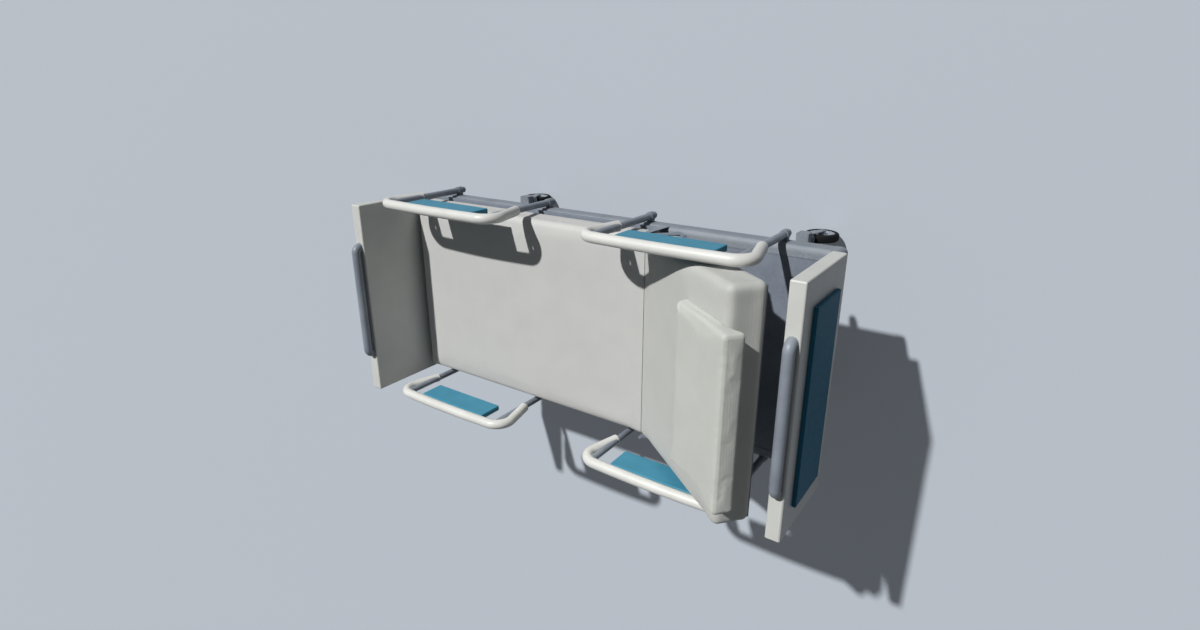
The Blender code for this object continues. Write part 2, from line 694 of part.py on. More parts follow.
def drive_rod():
    """Sliding rod with a slotted yoke round the lever's pin."""
    slot_width, slot_height = YOKE_SLOT
    half_width = slot_width / 2 + YOKE_WALL
    half_height = slot_height / 2 + YOKE_WALL
    gap_half = LEVER_THICK / 2 + YOKE_PLAY
    outer_half = gap_half + YOKE_PLATE
    left = DRIVE_X - half_width
    yoke = block((left - YOKE_WALL, DRIVE_Y - outer_half, DRIVE_Z - half_height),
                 (DRIVE_X + half_width, DRIVE_Y + outer_half, DRIVE_Z + half_height),
                 YOKE_WALL / 2, 2, along("Y"))
    lever_gap = block((left, DRIVE_Y - gap_half, DRIVE_Z - half_height - LAP),
                      (DRIVE_X + half_width + LAP, DRIVE_Y + gap_half, DRIVE_Z + half_height + LAP))
    pin_slot = block((DRIVE_X - slot_width / 2, DRIVE_Y - outer_half - LAP, DRIVE_Z - slot_height / 2),
                     (DRIVE_X + slot_width / 2, DRIVE_Y + outer_half + LAP, DRIVE_Z + slot_height / 2))
    bar = rod((ROD_START, DRIVE_Y, DRIVE_Z), (left - YOKE_WALL / 2, DRIVE_Y, DRIVE_Z), ROD_RADIUS)
    return joined(cut(yoke, lever_gap, pin_slot), bar)


def control_box():
    """Drive electronics' box under the middle cross member."""
    length, width, height = CONTROL_BOX_SIZE
    top = CROSS_LOW - SEAT_GAP
    return block((MIDDLE_CROSS_X - length / 2, -CONTROL_BOX_OFFSET - width / 2, top - height),
                 (MIDDLE_CROSS_X + length / 2, -CONTROL_BOX_OFFSET + width / 2, top), LAP, 2)


# Mattress and pillow

def flat_section():
    """Mattress section from the footboard to the seam."""
    seam = HINGE_X - SEAT_GAP
    return block((-BOARD_INNER_X + MATTRESS_END_GAP, -MATTRESS_WIDTH / 2, MATTRESS_LOW),
                 (seam, MATTRESS_WIDTH / 2, MATTRESS_HIGH), MATTRESS_ROUND, 3,
                 lambda middle, way: middle.x < seam - MATTRESS_ROUND)


def back_section():
    """Mattress section on the backrest, in its own frame, with a recess for the panel."""
    section = block((SEAT_GAP, -MATTRESS_WIDTH / 2, PANEL_LOW), (BACK_LENGTH, MATTRESS_WIDTH / 2, 0.0),
                    MATTRESS_ROUND, 3, lambda middle, way: middle.x > MATTRESS_ROUND)
    recess_top = PANEL_HIGH + SEAT_GAP
    wide = block((-LAP, -DECK_HALF - LAP, PANEL_LOW - LAP), (BACK_RIM_START, DECK_HALF + LAP, recess_top))
    narrow_half = PANEL_HALF + RUNNING_GAP
    narrow = block((0.0, -narrow_half, PANEL_LOW - LAP), (PANEL_END + RUNNING_GAP, narrow_half, recess_top))
    return cut(section, wide, narrow)


def pillow():
    """Pillow in the back section's own frame. It hangs over the end of the mattress."""
    half = PILLOW_WIDTH / 2
    base = SEAT_GAP
    outline = [(PILLOW_START, base), (BACK_LENGTH, base), (PILLOW_END - PILLOW_ROUND, -PILLOW_DROOP),
               (PILLOW_END, -PILLOW_DROOP + PILLOW_ROUND), (PILLOW_END, PILLOW_HIGH_THICK),
               (PILLOW_START, PILLOW_LOW_THICK)]
    form = plate(outline, -half, half)
    bmesh.ops.dissolve_limit(form, angle_limit=math.radians(0.2), verts=form.verts, edges=form.edges)
    edges = [edge for edge in form.edges if edge.calc_face_angle() > math.radians(20)]
    bmesh.ops.bevel(form, geom=edges, offset=PILLOW_ROUND, segments=2, profile=0.5, affect="EDGES")
    return form


# End boards

def end_board(end):
    """Board with two spigots below and two sockets for the handle's ends."""
    x, spigot_x = end * BOARD_MIDDLE_X, end * SPIGOT_X
    board = block((x - BOARD_THICK / 2, -BOARD_WIDTH / 2, BOARD_BOTTOM),
                  (x + BOARD_THICK / 2, BOARD_WIDTH / 2, BOARD_TOP), BOARD_ROUND, 2)
    spigots, sockets = [], []
    for side in (-1, 1):
        y = side * SPIGOT_SPREAD / 2
        spigots.append(rod((spigot_x, y, BOARD_BOTTOM - SPIGOT_LENGTH), (spigot_x, y, BOARD_BOTTOM + LAP),
                           SPIGOT_RADIUS))
        y = side * HANDLE_SPREAD / 2
        sockets.append(rod((x, y, BOARD_TOP - HANDLE_SINK - SEAT_GAP), (x, y, BOARD_TOP + LAP),
                           bore_radius(HANDLE_RADIUS, SEAT_GAP)))
    return cut(joined(board, together(*spigots)), together(*sockets))


def handle(end):
    """Push handle, a bar bent down into the board at both ends."""
    x, half = end * BOARD_MIDDLE_X, HANDLE_SPREAD / 2
    low, bar = BOARD_TOP - HANDLE_SINK, BOARD_TOP + HANDLE_RISE
    return tube(bent([(x, -half, low), (x, -half, bar), (x, half, bar), (x, half, low)], HANDLE_BEND, 3),
                HANDLE_RADIUS)


def accent_panel(end):
    """Coloured panel on the board's outer face."""
    inner = LENGTH_OVER_BOARDS / 2 + SEAT_GAP
    low_x, high_x = sorted((end * inner, end * (inner + ACCENT_THICK)))
    low_z = BOARD_BOTTOM + ACCENT_ABOVE_EDGE
    return block((low_x, -ACCENT_WIDTH / 2, low_z), (high_x, ACCENT_WIDTH / 2, low_z + ACCENT_HEIGHT),
                 ACCENT_ROUND, 2)


# Side rails

def rail_loop(centre, y):
    """Rail's bent tube, whose legs close round its posts, with the hangers that hold its panel."""
    def arch(x):
        return RAIL_TOP - RAIL_ARCH * (x / LOOP_HALF_SPAN) ** 2
    steps = 4
    crest = [(centre + x, y, arch(x)) for x in
             (LOOP_HALF_SPAN * (2 * i / steps - 1) for i in range(steps + 1))]
    feet = [(centre + way * (POST_OFFSET + LEG_OFFSET), y, LOOP_FOOT) for way in (-1, 1)]
    path = (bent([feet[0], crest[0], crest[1]], LOOP_CORNER, 4)[:-1] + crest[1:-1]
            + bent([crest[-2], crest[-1], feet[1]], LOOP_CORNER, 4)[1:])
    hangers, bores = [], []
    long_half, thick_half = HANGER_SIZE[0] / 2, HANGER_SIZE[1] / 2
    for way in (-1, 1):
        hanger = centre + way * HANGER_SPREAD / 2
        hangers.append(block((hanger - long_half, y - thick_half, RAIL_PANEL_HIGH + SEAT_GAP),
                             (hanger + long_half, y + thick_half, arch(HANGER_SPREAD / 2))))
        x = centre + way * POST_OFFSET
        bores.append(rod((x, y, LOOP_FOOT - LOOP_RADIUS), (x, y, POST_HEAD + SEAT_GAP),
                         bore_radius(POST_RADIUS, SEAT_GAP)))
    return cut(joined(tube(path, LOOP_RADIUS), together(*hangers)), together(*bores))


def rail_post(x, y):
    """Post that slides in its sleeve, with a rounded foot."""
    tip = POST_RADIUS * 0.3
    return turned([(0.0, POST_HEAD), (POST_RADIUS, POST_HEAD), (POST_RADIUS, POST_FOOT + tip),
                   (POST_RADIUS - tip, POST_FOOT), (0.0, POST_FOOT)], SIDES, "Z", (x, y, 0.0))


def rail_panel(centre, y):
    """Panel that fills the middle of the loop."""
    long_half, thick_half = RAIL_PANEL_LENGTH / 2, RAIL_PANEL_THICK / 2
    return block((centre - long_half, y - thick_half, RAIL_PANEL_LOW),
                 (centre + long_half, y + thick_half, RAIL_PANEL_HIGH), RAIL_PANEL_ROUND, 2)


def rail_catch(x, y):
    """Pull knob on the catch pin under the side member."""
    high, top = FRAME_LOW + CATCH_DEPTH, FRAME_LOW - SEAT_GAP
    low = FRAME_LOW - CATCH_DROP
    return turned([(0.0, high), (CATCH_RADIUS, high), (CATCH_RADIUS, top), (CATCH_KNOB * 0.7, top),
                   (CATCH_KNOB * 0.6, (top + low) / 2), (CATCH_KNOB, low + CATCH_KNOB * 0.5),
                   (CATCH_KNOB * 0.8, low), (0.0, low)], SIDES, "Z", (x, y, 0.0))


# Lift columns

def stage_half(stage):
    """Half width of a column stage: 0 outer, 1 middle, 2 inner."""
    return COLUMN_WIDTH / 2 - stage * (COLUMN_WALL + RUNNING_GAP)


def stage_block(x, half, low, high, round_by):
    """Upright square block with rounded corners."""
    return block((x - half, -half, low), (x + half, half, high), round_by, 2, along("Z"))


def outer_stage(x):
    """Outer column tube, closed at its foot, with the flange that it stands on."""
    low, high = OUTER_SPAN
    body = stage_block(x, stage_half(0), low, high, COLUMN_ROUND)
    foot = BASE_TOP + SEAT_GAP
    flange = stage_block(x, FLANGE_WIDTH / 2, foot, foot + FLANGE_THICK, COLUMN_ROUND)
    hollow = stage_block(x, stage_half(0) - COLUMN_WALL, low + COLUMN_WALL / 2, high + LAP, COLUMN_HOLE_ROUND)
    return cut(joined(body, flange), hollow)


def middle_stage(x):
    """Middle column tube, open at both ends."""
    low, high = MIDDLE_SPAN
    body = stage_block(x, stage_half(1), low, high, COLUMN_ROUND)
    return cut(body, stage_block(x, stage_half(1) - COLUMN_WALL, low - LAP, high + LAP, COLUMN_HOLE_ROUND))


def inner_stage(x):
    """Inner column with the cap that carries the deck frame."""
    high = CROSS_LOW - SEAT_GAP
    body = stage_block(x, stage_half(2), INNER_FOOT, high, COLUMN_ROUND)
    return joined(body, stage_block(x, CAP_WIDTH / 2, high - FLANGE_THICK, high, COLUMN_ROUND))


# Base frame and castors

def base_frame():
    """Welded base: side and end tubes, column beams and the lugs of the brake bar."""
    side = block((-BASE_END_X, BASE_SIDE_Y - BASE_TUBE / 2, BASE_LOW),
                 (BASE_END_X, BASE_SIDE_Y + BASE_TUBE / 2, BASE_TOP), BASE_ROUND, 2, along("X"))
    end = block((BASE_END_X - BASE_END_WIDTH / 2, -BASE_END_LENGTH / 2, BASE_LOW),
                (BASE_END_X + BASE_END_WIDTH / 2, BASE_END_LENGTH / 2, BASE_TOP), BASE_ROUND, 2,
                lambda middle, way: abs(way.y) > 0.9 or abs(way.z) > 0.9)
    base = joined(end, mirrored(end, "X"), side, mirrored(side, "Y"))
    beam_x = COLUMN_WIDTH / 2 + SEAT_GAP + COLUMN_BEAM / 2
    for x in (-COLUMN_X - beam_x, -COLUMN_X + beam_x, COLUMN_X - beam_x, COLUMN_X + beam_x):
        base = joined(base, block((x - COLUMN_BEAM / 2, -BASE_SIDE_Y, BASE_LOW + LAP),
                                  (x + COLUMN_BEAM / 2, BASE_SIDE_Y, BASE_TOP)))
    root_x = -BASE_END_X - BASE_END_WIDTH / 2 + BASE_ROUND + LAP
    lug = plate(arm_outline((root_x, BASE_LOW + BASE_ROUND), (root_x, BASE_TOP - BASE_ROUND),
                            (PEDAL_BAR_X, PEDAL_BAR_Z), PEDAL_LUG_END),
                PEDAL_LUG_Y - PEDAL_LUG_THICK / 2, PEDAL_LUG_Y + PEDAL_LUG_THICK / 2)
    base = joined(base, lug, mirrored(lug, "Y"))
    half = PEDAL_LUG_Y + PEDAL_LUG_THICK
    holes = [rod((PEDAL_BAR_X, -half, PEDAL_BAR_Z), (PEDAL_BAR_X, half, PEDAL_BAR_Z),
                 bore_radius(PEDAL_BAR, SEAT_GAP))]
    for x in (-BASE_END_X, BASE_END_X):
        for y in (-CASTOR_Y, CASTOR_Y):
            holes.append(rod((x, y, BASE_LOW - LAP), (x, y, BASE_LOW + STEM_LENGTH + SEAT_GAP),
                             bore_radius(STEM_RADIUS, SEAT_GAP)))
    return cut(base, together(*holes))


def brake_bar():
    """Brake bar with a foot pedal at each end."""
    half = PEDAL_BAR_LENGTH / 2
    bar = rod((PEDAL_BAR_X, -half, PEDAL_BAR_Z), (PEDAL_BAR_X, half, PEDAL_BAR_Z), PEDAL_BAR)
    length, width, thick = PEDAL_SIZE
    pads = [block((PEDAL_BAR_X - length, side * PEDAL_Y - width / 2, PEDAL_BAR_Z - thick / 2),
                  (PEDAL_BAR_X, side * PEDAL_Y + width / 2, PEDAL_BAR_Z + thick / 2), thick / 3, 2)
            for side in (-1, 1)]
    return joined(bar, together(*pads))


def castor_fork(end, side):
    """Fork with its stem, crown, two legs and the wheel's axle."""
    stem_x, y, axle_x = end * BASE_END_X, side * CASTOR_Y, end * CASTOR_X
    crown_high = BASE_LOW - SEAT_GAP
    stem = rod((stem_x, y, CROWN_LOW), (stem_x, y, BASE_LOW + STEM_LENGTH), STEM_RADIUS)
    crown = rod((stem_x, y, CROWN_LOW), (stem_x, y, crown_high), CROWN_RADIUS)
    root_z = (CROWN_LOW + crown_high) / 2
    outline = arm_outline((stem_x + CROWN_RADIUS * 0.7, root_z), (stem_x - CROWN_RADIUS * 0.7, root_z),
                          (axle_x, WHEEL_RADIUS), FORK_TIP)
    legs = together(*[plate(outline, y + low, y + low + FORK_LEG) for low in (LEG_Y, -LEG_Y - FORK_LEG)])
    reach = LEG_Y + FORK_LEG + AXLE_END
    axle = rod((axle_x, y - reach, WHEEL_RADIUS), (axle_x, y + reach, WHEEL_RADIUS), AXLE_RADIUS)
    return joined(crown, stem, legs, axle)


def wheel_hub(end, side):
    """Hub with a dished web, a rim and a boss round the axle."""
    inner = bore_radius(AXLE_RADIUS, SEAT_GAP, WHEEL_SIDES)
    boss, rim, half = LEG_Y - RUNNING_GAP, HUB_RADIUS * 0.84, HUB_WIDTH / 2
    web = half * 0.45
    upper = [(inner, boss), (HUB_BOSS, boss), (HUB_BOSS, web), (rim, web),
             (rim, half), (HUB_RADIUS, half)]
    lower = [(radius, -height) for radius, height in reversed(upper)]
    return turned(upper + lower, WHEEL_SIDES, "Y", (end * CASTOR_X, side * CASTOR_Y, WHEEL_RADIUS))


def wheel_tyre(end, side):
    """Tyre with rounded shoulders, its facets in line with the hub's."""
    inner = HUB_RADIUS + SEAT_GAP
    half = TYRE_WIDTH / 2
    upper = [(inner, half - SEAT_GAP), (WHEEL_RADIUS - TYRE_SHOULDER * 1.6, half),
             (WHEEL_RADIUS - TYRE_SHOULDER * 0.5, half - TYRE_SHOULDER * 0.6),
             (WHEEL_RADIUS, half - TYRE_SHOULDER * 1.8)]
    lower = [(radius, -height) for radius, height in reversed(upper)]
    return turned(upper + lower, WHEEL_SIDES, "Y", (end * CASTOR_X, side * CASTOR_Y, WHEEL_RADIUS))


# The whole bed, as pieces on their pivots

def add_base():
    """Base frame, brake bar and castors. Returns the base's pivot."""
    base = pivot("base", (0.0, 0.0, 0.0))
    piece("base_frame", base_frame(), STEEL, base)
    brake = pivot("brake_pivot", (PEDAL_BAR_X, 0.0, PEDAL_BAR_Z), base)
    piece("brake_bar", brake_bar(), DARK, brake)
    for end_name, end in (("foot", -1), ("head", 1)):
        for side_name, side in (("right", -1), ("left", 1)):
            name = f"{end_name}_{side_name}"
            swivel = pivot(f"swivel_{name}", (end * BASE_END_X, side * CASTOR_Y, BASE_LOW), base)
            axle = pivot(f"axle_{name}", (end * CASTOR_X, side * CASTOR_Y, WHEEL_RADIUS), swivel)
            piece(f"castor_fork_{name}", castor_fork(end, side), STEEL, swivel)
            piece(f"wheel_hub_{name}", wheel_hub(end, side), HUB, axle)
            piece(f"wheel_tyre_{name}", wheel_tyre(end, side), RUBBER, axle)
    return base


def add_columns(base):
    """Both lift columns. Returns the pivot that rises with the deck."""
    middle = pivot("middle_stages", (0.0, 0.0, MIDDLE_SPAN[0]), base)
    lift = pivot("lift", (0.0, 0.0, FRAME_LOW), base)
    for name, x in (("foot", -COLUMN_X), ("head", COLUMN_X)):
        piece(f"column_outer_{name}", outer_stage(x), WHITE, base)
        piece(f"column_middle_{name}", middle_stage(x), STEEL, middle)
        piece(f"column_inner_{name}", inner_stage(x), STEEL, lift)
    return lift


def add_deck(lift):
    """Deck frame with its fixed panels, drive, flat mattress section and boards."""
    piece("deck_frame", deck_frame(), STEEL, lift)
    piece("seat_panel", seat_panel(), DECK, lift)
    piece("head_tray", head_tray(), STEEL, lift)
    piece("drive_housing", drive_housing(), DARK, lift)
    piece("control_box", control_box(), DARK, lift)
    piece("mattress_flat", flat_section(), FABRIC, lift)
    drive = pivot("drive_slide", (DRIVE_X, DRIVE_Y, DRIVE_Z), lift)
    piece("drive_rod", drive_rod(), STEEL, drive)
    for name, end in (("foot", -1), ("head", 1)):
        board = pivot(f"{name}board_lift", (end * BOARD_MIDDLE_X, 0.0, BOARD_BOTTOM), lift)
        piece(f"{name}board", end_board(end), BOARD, board)
        piece(f"{name}board_handle", handle(end), STEEL, board)
        piece(f"{name}board_accent", accent_panel(end), TEAL, board)


def add_backrest(lift):
    """Back section at its raised angle, with its mattress and the pillow."""
    hinge = pivot("backrest_hinge", HINGE, lift, (0.0, -math.radians(BACKREST_ANGLE), 0.0))
    piece("backrest_panel", backrest_panel(), DECK, hinge, own_frame=True)
    piece("mattress_back", back_section(), FABRIC, hinge, own_frame=True)
    piece("pillow", pillow(), LINEN, hinge, own_frame=True)


def add_rails(lift):
    """Four side rails, each a loop, a panel and two posts, and their catches."""
    for end_name, centre in RAIL_CENTRES.items():
        for side_name, side in (("right", -1), ("left", 1)):
            name = f"{end_name}_{side_name}"
            y = side * RAIL_Y
            slide = pivot(f"rail_slide_{name}", (centre, y, RAIL_TOP), lift)
            piece(f"rail_loop_{name}", rail_loop(centre, y), WHITE, slide)
            piece(f"rail_panel_{name}", rail_panel(centre, y), TEAL, slide)
            for post_name, way in (("a", -1), ("b", 1)):
                piece(f"rail_post_{post_name}_{name}", rail_post(centre + way * POST_OFFSET, y), STEEL, slide)
            catch = pivot(f"catch_{name}", (centre, side * CATCH_Y, FRAME_LOW), lift)
            piece(f"rail_catch_{name}", rail_catch(centre, side * CATCH_Y), DARK, catch)


def build_bed():
    """Everything, in place at rest."""
    base = add_base()
    lift = add_columns(base)
    add_deck(lift)
    add_backrest(lift)
    add_rails(lift)


build_bed()
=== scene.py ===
"""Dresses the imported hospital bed: covers and pillow, coated tubes and frame, castors, boards and rails."""
import math

import bpy
from mathutils import Matrix, Vector


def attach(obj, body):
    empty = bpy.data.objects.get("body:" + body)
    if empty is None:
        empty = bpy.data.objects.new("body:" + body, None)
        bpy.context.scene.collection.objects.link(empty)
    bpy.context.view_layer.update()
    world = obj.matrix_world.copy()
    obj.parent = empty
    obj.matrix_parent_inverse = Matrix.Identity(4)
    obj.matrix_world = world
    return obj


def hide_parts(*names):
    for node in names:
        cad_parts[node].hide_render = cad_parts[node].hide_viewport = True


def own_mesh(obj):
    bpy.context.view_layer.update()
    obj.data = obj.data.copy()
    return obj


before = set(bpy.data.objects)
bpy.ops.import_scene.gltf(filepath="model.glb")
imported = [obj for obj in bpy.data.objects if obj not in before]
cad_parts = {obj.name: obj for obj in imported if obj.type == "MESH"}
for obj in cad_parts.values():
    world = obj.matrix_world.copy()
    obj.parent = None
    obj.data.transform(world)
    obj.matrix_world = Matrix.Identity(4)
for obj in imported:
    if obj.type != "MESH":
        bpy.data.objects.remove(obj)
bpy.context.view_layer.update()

# Lengths in metres, in the bed's own frame: X from foot to head, Z up
HINGE = Vector((0.330, 0.0, 0.795))
BACK_ANGLE = math.radians(37.0)
BACK_LENGTH = 0.701
BACK_LOW, PANEL_TOP = -0.1497, -0.1314     # of the back section and its panel, from the hinge
PANEL_END, PANEL_HALF_WIDTH, PANEL_WIDE_END = 0.683, 0.440, 0.075
MATTRESS_HALF_WIDTH = 0.458
FLAT_FOOT_X = -1.036
DECK_TOP = 0.6633
CORNER_ROUND = 0.030
COVER_ALLOWANCE = 0.003                     # a cover starts this far inside its section, and swells out
COVER_SWELL, PILLOW_SWELL = 0.0055, 0.005
SEAM_GAP = 0.0006                           # from the hinge's line to the end of each section
PANEL_GAP, DECK_GAP = 0.0006, 0.0003
PILLOW_START, PILLOW_END, PILLOW_HALF_WIDTH = 0.419, 0.786, 0.329
PILLOW_LOW, PILLOW_THICK, PILLOW_DROOP, PILLOW_ROUND = 0.0005, 0.051, 0.0325, 0.015
BOARD_TOP, BOARD_X = 1.122, 1.07125
HANDLE_HALF_SPREAD, HANDLE_RISE, HANDLE_BEND, HANDLE_SINK, HANDLE_RADIUS = 0.275, 0.024, 0.026, 0.020, 0.0205
RAIL_Y, RAIL_TOP, RAIL_ARCH = 0.489, 1.060, 0.012
RAIL_CENTRES = {"foot": -0.622, "head": 0.532}
RAIL_RADIUS, RAIL_HALF_SPAN, RAIL_CORNER, RAIL_FOOT = 0.0225, 0.3595, 0.070, 0.833
POST_OFFSET, LEG_OFFSET = 0.2985, 0.006
POST_RADIUS, POST_FOOT, POST_HEAD = 0.015, 0.555, 1.032
AXLE_X, AXLE_Y, AXLE_Z = 0.820, 0.380, 0.075

CAMERA_PLACE, LENS, SENSOR = (1.6999, 1.0855, 3.0927), 20.407, 36.0     # lens and sensor in millimetres
KEY_WAY, KEY_STRENGTH, KEY_SPREAD = (0.306, -1.0, -1.135), 3.73, 1.5    # spread in degrees
FILL_COLOUR = (0.90, 0.95, 1.0, 1.0)

FLOOR_COLOUR, FLOOR_BOUNCE = "AFB6BF", "53575E"
FLOOR_LIFT = 0.12                           # of its own colour, in what the camera sees
FILL_STRENGTH, BACKDROP_STRENGTH = 0.095, 0.42    # of the world, as it lights the bed and as it is seen

ENDS = {"foot": -1, "head": 1}
SIDES = {"right": -1, "left": 1}


# Materials

def linear(hexa):
    """sRGB hex as linear RGBA."""
    channels = [int(hexa[i:i + 2], 16) / 255 for i in (0, 2, 4)]
    return [c / 12.92 if c <= 0.04045 else ((c + 0.055) / 1.055) ** 2.4 for c in channels] + [1.0]


def add_node(tree, kind, settings=(), links=(), **properties):
    """Shader node with its properties, input values and input links."""
    node = tree.nodes.new("ShaderNode" + kind)
    for name, value in properties.items():
        setattr(node, name, value)
    for name, value in dict(settings).items():
        node.inputs[name].default_value = value
    for name, source in dict(links).items():
        tree.links.new(source, node.inputs[name])
    return node


def new_finish(name, roughness, metallic=0.0, **sockets):
    """Principled material with its shader, tree and Object coordinates."""
    finish = bpy.data.materials.new(name)
    finish.use_nodes = True
    tree = finish.node_tree
    shader = tree.nodes["Principled BSDF"]
    shader.inputs["Roughness"].default_value = roughness
    shader.inputs["Metallic"].default_value = metallic
    for socket, value in sockets.items():
        shader.inputs[socket.replace("_", " ")].default_value = value
    place = add_node(tree, "TexCoord").outputs["Object"]
    return finish, tree, shader, place


def noise(tree, place, size, detail=2.0, rough=0.5):
    """Noise whose blotches are about size metres across."""
    return add_node(tree, "TexNoise", {"Scale": 1 / size, "Detail": detail, "Roughness": rough},
                    {"Vector": place}).outputs["Fac"]


def ramp(tree, value, low, high, to_low=0.0, to_high=1.0):
    """Value mapped from one span to another, held at its ends."""
    span = {"From Min": low, "From Max": high, "To Min": to_low, "To Max": to_high}
    return add_node(tree, "MapRange", span, {"Value": value}).outputs["Result"]


def mixed(tree, share, first, second):
    """Colour between two, each a hex or a link."""
    node = add_node(tree, "Mix", data_type="RGBA")
    tree.links.new(share, node.inputs["Factor"])
    for socket, colour in (("A", first), ("B", second)):
        place = next(s for s in node.inputs if s.name == socket and s.type == "RGBA")
        if isinstance(colour, str):
            place.default_value = linear(colour)
        else:
            tree.links.new(colour, place)
    return next(s for s in node.outputs if s.type == "RGBA")


def raise_surface(tree, shader, layers):
    """Bump from (height, depth in metres) layers, one over the other."""
    normal = None
    for height, depth in layers:
        bump = add_node(tree, "Bump", {"Strength": 1.0, "Distance": depth}, {"Height": height})
        if normal is not None:
            tree.links.new(normal, bump.inputs["Normal"])
        normal = bump.outputs["Normal"]
    tree.links.new(normal, shader.inputs["Normal"])


def powder_coat(name, colour, paler_tone, metallic, roughness, peel=0.0022):
    """Powder-coated steel, baked in one thick skin: faint orange peel and edges a little paler in patches."""
    finish, tree, shader, place = new_finish(name, roughness, metallic)
    cloud = noise(tree, place, 0.12, 3.0)
    tint = mixed(tree, ramp(tree, cloud, 0.35, 0.65), colour, paler_tone)
    # Edges made a little paler in patches, where pointiness and a fine noise are both high.
    edge = ramp(tree, add_node(tree, "NewGeometry").outputs["Pointiness"], 0.52, 0.62)
    pale_edge_patches = add_node(tree, "Math", {}, {0: edge, 1: ramp(tree, noise(tree, place, 0.015, 4.0), 0.45, 0.6)},
                     operation="MULTIPLY").outputs[0]
    tree.links.new(mixed(tree, pale_edge_patches, tint, paler_tone), shader.inputs["Base Color"])
    tree.links.new(ramp(tree, noise(tree, place, 0.03, 3.0), 0.3, 0.7, roughness - 0.05, roughness + 0.06),
                   shader.inputs["Roughness"])
    raise_surface(tree, shader, [(noise(tree, place, peel, 1.0), 0.00006)])
    return finish


def moulded(name, colour, shade, roughness, grain=0.0016, depth=0.00005, gloss=0.5):
    """Injection-moulded plastic with a fine spark-eroded grain and a slightly uneven sheen."""
    finish, tree, shader, place = new_finish(name, roughness, IOR=1.49, Specular_IOR_Level=gloss)
    tree.links.new(mixed(tree, ramp(tree, noise(tree, place, 0.09, 3.0), 0.3, 0.7), colour, shade),
                   shader.inputs["Base Color"])
    tree.links.new(ramp(tree, noise(tree, place, 0.02, 2.0), 0.3, 0.7, roughness - 0.04, roughness + 0.05),
                   shader.inputs["Roughness"])
    raise_surface(tree, shader, [(noise(tree, place, grain, 2.0), depth)])
    return finish


def woven(name, colour, shade, roughness, pitch, depth, tilt=0.0, sheen=0.15):
    """Plain weave, drawn coarser than life so that it shows. tilt turns it with the raised section."""
    finish, tree, shader, place = new_finish(name, roughness, Sheen_Weight=sheen, Sheen_Roughness=0.5)
    turned = add_node(tree, "Mapping", {"Rotation": (0.0, tilt, 0.0)}, {"Vector": place}).outputs["Vector"]
    weave = None
    for direction in ("X", "Y", "Z"):
        thread = add_node(tree, "TexWave", {"Scale": 1 / (pitch * 3.2), "Distortion": 0.6, "Detail": 1.0,
                                            "Detail Scale": 2.0},
                          {"Vector": turned}, bands_direction=direction).outputs["Fac"]
        weave = thread if weave is None else add_node(tree, "Math", {}, {0: weave, 1: thread},
                                                      operation="ADD").outputs[0]
    cloud = ramp(tree, noise(tree, turned, 0.16, 4.0), 0.3, 0.7)
    tree.links.new(mixed(tree, cloud, colour, shade), shader.inputs["Base Color"])
    raise_surface(tree, shader, [(weave, depth), (noise(tree, turned, 0.07, 3.0), 0.0008)])
    return finish


WHITE_COAT = powder_coat("powder_coated_steel_white", "D2D2CE", "DADAD6", 0.0, 0.42)
GREY_COAT = powder_coat("powder_coated_steel_grey", "787F8A", "8A919B", 0.0, 0.44)
FRAME_COAT = powder_coat("powder_coated_frame_grey", "7A818A", "868D96", 0.0, 0.60)
TRAY_COAT = powder_coat("powder_coated_tray_grey", "6F7784", "7B838F", 0.0, 0.58)
TEAL_PANEL = moulded("moulded_abs_teal", "4A8EA9", "4487A0", 0.50, gloss=0.12)
# Teal of the end boards' accent panels, drawn darker than the rail panels' teal as painted shade.
ACCENT_TEAL_PAINTED_SHADE = moulded("moulded_abs_teal_painted_shade", "30718D", "2D6B86", 0.50, gloss=0.05)
DECK_PANEL = moulded("moulded_deck_grey", "7B8390", "757D8A", 0.55)
DARK_PLASTIC = moulded("moulded_abs_dark_grey", "2A2E33", "30353B", 0.50)
HUB_PLASTIC = moulded("moulded_nylon_hub_grey", "949BA4", "8A919A", 0.45)
BOARD_PLASTIC = moulded("moulded_board_white", "CECFCB", "C9CAC6", 0.42, 0.0020)
TYRE_RUBBER = moulded("castor_rubber_black", "0E0F12", "15171A", 0.80, 0.0025, 0.00010, gloss=0.2)
MATTRESS_KNIT = woven("coated_knit_cover", "C5C5C3", "C0C0BE", 0.62, 0.0026, 0.00012)
# The raised section's cover: the same knit as the flat section's, its colour set a little darker as painted
# shade.
BACK_KNIT_PAINTED_SHADE = woven("coated_knit_cover_raised_painted_shade", "BFC0BC", "BABBB7", 0.62, 0.0026, 0.00012, -BACK_ANGLE)
PILLOW_COTTON = woven("cotton_pillow_case", "C6C8C2", "C0C2BC", 0.80, 0.0022, 0.00014, -BACK_ANGLE, 0.3)


# Modelling helpers

def select_only(*objects):
    """Object mode with nothing but these selected."""
    bpy.ops.object.select_all(action="DESELECT")
    for piece in objects:
        piece.select_set(True)
    bpy.context.view_layer.objects.active = objects[0]


def settle(piece, finish, body, slot, *nodes):
    """Bakes the piece's place into its mesh, gives it its finish and makes it ride on its body."""
    select_only(piece)
    if piece.type != "MESH":
        bpy.ops.object.convert(target="MESH")
        piece = bpy.context.object
    bpy.ops.object.transform_apply(location=True, rotation=True, scale=True)
    piece.data.materials.clear()
    piece.data.materials.append(finish)
    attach(piece, body)
    if nodes:
        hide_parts(*nodes)
    return piece


def smooth(piece, angle=32.0):
    """Smooth shading between faces that meet at less than the angle, with the broad faces left flat."""
    select_only(piece)
    bpy.ops.object.shade_smooth_by_angle(angle=math.radians(angle))
    weights = piece.modifiers.new("flat_faces", "WEIGHTED_NORMAL")
    weights.keep_sharp = True
    weights.weight = 100
    bpy.ops.object.modifier_apply(modifier="flat_faces")


